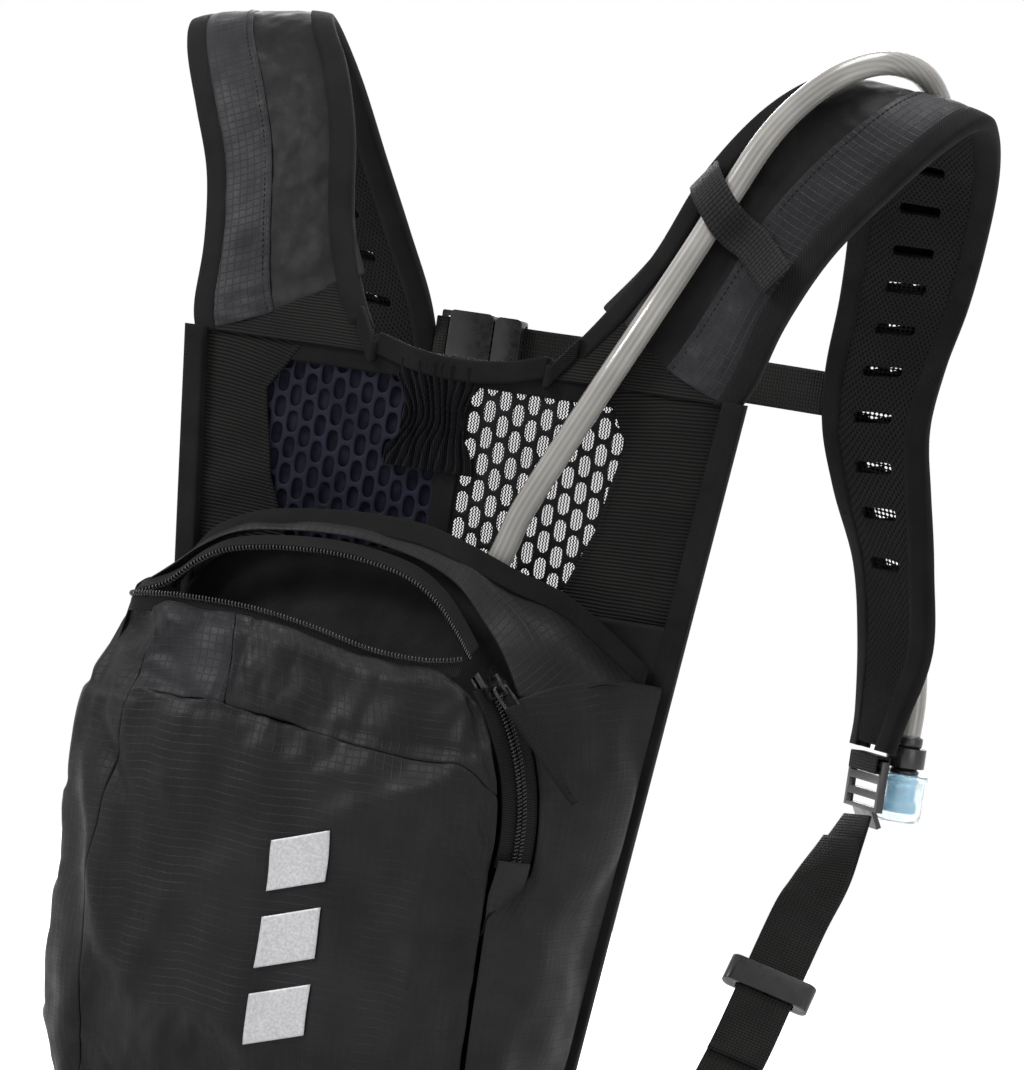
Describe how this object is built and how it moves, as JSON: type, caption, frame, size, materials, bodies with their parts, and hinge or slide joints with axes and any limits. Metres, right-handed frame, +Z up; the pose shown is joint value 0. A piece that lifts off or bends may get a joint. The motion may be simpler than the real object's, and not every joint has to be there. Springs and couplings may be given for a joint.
{
  "type": "hydration pack",
  "caption": "Narrow riding backpack with a drinking reservoir, hose and bite valve, a zipped front pocket, open net yoke and padded straps with a chest buckle.",
  "frame": {"origin": "centre of the flat face that lies on the wearer's back", "axes": "+Y towards the wearer, out of the back face; +Z up along the pack; +X to the right as seen from the front pocket's side"},
  "size_m": [0.3514, 0.3148, 0.4996],
  "materials": {
    "back_mesh": "spacer mesh",
    "foam": "closed-cell foam",
    "lining_fabric": "plain woven",
    "shell_fabric": "coated ripstop",
    "plum_fabric": "coated ripstop",
    "binding_tape": "twill tape",
    "zip_tape": "knitted tape",
    "zip_coil": "moulded coil",
    "slider_metal": "gloss black",
    "ribbed_fabric": "ribbed weave",
    "navy_net": "knitted net",
    "black_net": "knitted net",
    "knit_lining": "fine open knit",
    "strap_fabric": "soft woven",
    "strap_mesh": "air mesh",
    "elastic": "ribbed elastic",
    "hose_clear": "translucent tube",
    "black_plastic": "moulded",
    "blue_silicone": "translucent silicone",
    "clear_cap": "clear moulded",
    "reservoir_film": "soft film",
    "white_plastic": "moulded",
    "port_plastic": "moulded",
    "webbing": "flat woven",
    "reflective": "retroreflective print"
  },
  "bodies": {
    "pack": {"back_mesh": "back_mesh", "back_foam": "foam", "back_lining": "lining_fabric", "divider_panel": "lining_fabric", "left_gusset": "shell_fabric", "right_gusset": "shell_fabric", "bottom_panel": "shell_fabric", "front_panel": "shell_fabric", "top_panel_left": "plum_fabric", "top_panel_right": "shell_fabric", "arch_gusset": "shell_fabric", "flap_binding": "binding_tape", "zip_tape_rear": "zip_tape", "zip_tape_front": "zip_tape", "zip_teeth_rear": "zip_coil", "zip_teeth_front": "zip_coil", "zip_garage": "shell_fabric", "yoke_side_left": "ribbed_fabric", "yoke_side_right": "ribbed_fabric", "net_left": "navy_net", "net_right": "black_net", "yoke_spine": "ribbed_fabric", "yoke_lining": "knit_lining", "strap_cover_left": "strap_fabric", "strap_cover_right": "strap_fabric", "strap_foam_left": "foam", "strap_foam_right": "foam", "strap_liner_left": "strap_mesh", "strap_liner_right": "strap_mesh", "outer_binding_left": "binding_tape", "outer_binding_right": "binding_tape", "inner_binding": "binding_tape", "hose_keeper": "elastic", "hose": "hose_clear", "valve_body": "black_plastic", "mouthpiece": "blue_silicone", "reservoir": "reservoir_film", "port_socket": "port_plastic", "hose_elbow": "black_plastic", "hanger_loop": "webbing", "chest_web": "webbing", "chest_loop": "webbing", "buckle_socket": "black_plastic", "lock_loops": "webbing", "lower_web_left": "webbing", "lower_web_right": "webbing", "reflector": "reflective"},
    "slider": {"zip_slider": "slider_metal", "zip_bail": "slider_metal"},
    "puller": {"zip_puller": "zip_tape"},
    "chest_plug": {"buckle_plug": "black_plastic"},
    "glide_left": {"tri_glide_left": "black_plastic"},
    "glide_right": {"tri_glide_right": "black_plastic"},
    "lock_left": {"ladder_lock_left": "black_plastic"},
    "lock_right": {"ladder_lock_right": "black_plastic"},
    "lever": {"valve_lever": "black_plastic"},
    "cap": {"dust_cap": "clear_cap"},
    "bar": {"closure_bar": "white_plastic"},
    "button": {"port_button": "white_plastic"}
  },
  "joints": [
    {"name": "zip_run", "type": "hinge", "parent": "pack", "child": "slider", "pos_m": [-0.019, -0.056, 0.012], "axis": [0, 1, 0], "range_deg": [0, 33]},
    {"name": "pull_swing", "type": "hinge", "parent": "slider", "child": "puller", "pos_m": [0.0556, -0.05838, 0.06968], "axis": [-0.3794, -0.8746, -0.3018], "range_deg": [0, 120]},
    {"name": "chest_release", "type": "slide", "parent": "pack", "child": "chest_plug", "axis": [1, 0, 0], "range_m": [0, 0.03]},
    {"name": "glide_slide_left", "type": "slide", "parent": "pack", "child": "glide_left", "axis": [0.0854, -0.5978, -0.7971], "range_m": [-0.02, 0.02]},
    {"name": "glide_slide_right", "type": "slide", "parent": "pack", "child": "glide_right", "axis": [-0.0854, -0.5978, -0.7971], "range_m": [-0.02, 0.02]},
    {"name": "lock_tilt_left", "type": "hinge", "parent": "pack", "child": "lock_left", "pos_m": [-0.129, 0.218, 0.0454], "axis": [0.682, 0.7314, 0], "range_deg": [0, 5]},
    {"name": "lock_tilt_right", "type": "hinge", "parent": "pack", "child": "lock_right", "pos_m": [0.129, 0.218, 0.0454], "axis": [0.682, -0.7314, 0], "range_deg": [0, 5]},
    {"name": "valve_turn", "type": "hinge", "parent": "pack", "child": "lever", "pos_m": [0.142, 0.228, 0.049], "axis": [0, 0, 1], "range_deg": [-90, 0]},
    {"name": "cap_pull", "type": "slide", "parent": "pack", "child": "cap", "axis": [0, 0, -1], "range_m": [0, 0.03]},
    {"name": "bar_slide", "type": "slide", "parent": "pack", "child": "bar", "axis": [1, 0, 0], "range_m": [0, 0.015]},
    {"name": "button_press", "type": "slide", "parent": "pack", "child": "button", "axis": [-1, 0, 0], "range_m": [0, 0.0015], "stiffness_N_per_m": 400}
  ]
}
